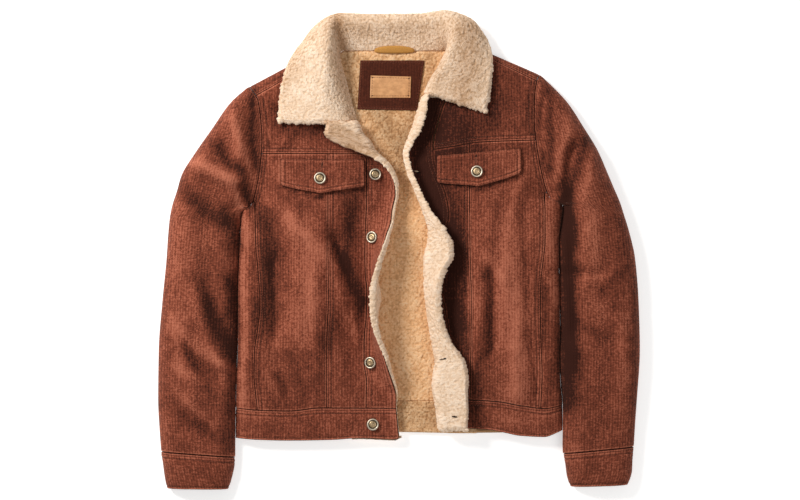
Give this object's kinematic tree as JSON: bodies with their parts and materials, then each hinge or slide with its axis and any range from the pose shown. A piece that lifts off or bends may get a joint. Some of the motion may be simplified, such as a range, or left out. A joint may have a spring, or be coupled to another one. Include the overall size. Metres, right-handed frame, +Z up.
{
  "type": "sherpa lined jacket",
  "caption": "Waist-length corduroy jacket with pile lining and collar, pointed chest pocket flaps and a shank-button front, laid flat and open.",
  "frame": {"origin": "middle of the bounding box's underside, on the surface that the jacket lies on", "axes": "+Z up from the surface to the front, +Y from the hem towards the collar, +X to the viewer's right, which is the jacket's left side when worn"},
  "size_m": [0.7979, 0.7915, 0.061],
  "materials": {
    "corduroy": "fine-wale cotton corduroy, rust brown, soft nap",
    "sherpa": "curled polyester pile, cream",
    "loop_tape": "ochre woven tape",
    "label_leather": "tan leather-like label, left bare",
    "antique_metal": "antique brass with worn nickel rim"
  },
  "bodies": {
    "root": {"back_band": "corduroy", "back_lining": "sherpa", "back_panel": "corduroy", "band_left": "corduroy", "band_right": "corduroy", "button_1": "antique_metal", "button_2": "antique_metal", "button_3": "antique_metal", "button_4": "antique_metal", "button_5": "antique_metal", "button_pocket_left": "antique_metal", "button_pocket_right": "antique_metal", "centre_panel_left": "corduroy", "centre_panel_right": "corduroy", "collar": "sherpa", "collar_under": "corduroy", "cuff_left": "corduroy", "cuff_right": "corduroy", "facing_left": "sherpa", "facing_right": "sherpa", "flap_left": "corduroy", "flap_right": "corduroy", "hanging_loop": "loop_tape", "lining_hem": "sherpa", "middle_panel_left": "corduroy", "middle_panel_right": "corduroy", "neck_label": "label_leather", "neck_patch": "corduroy", "placket_left": "corduroy", "placket_right": "corduroy", "shoulder_left": "corduroy", "shoulder_right": "corduroy", "side_panel_left": "corduroy", "side_panel_right": "corduroy", "sleeve_under_left": "corduroy", "sleeve_under_right": "corduroy", "sleeve_upper_left": "corduroy", "sleeve_upper_right": "corduroy", "yoke_left": "corduroy", "yoke_right": "corduroy"}
  },
  "joints": []
}
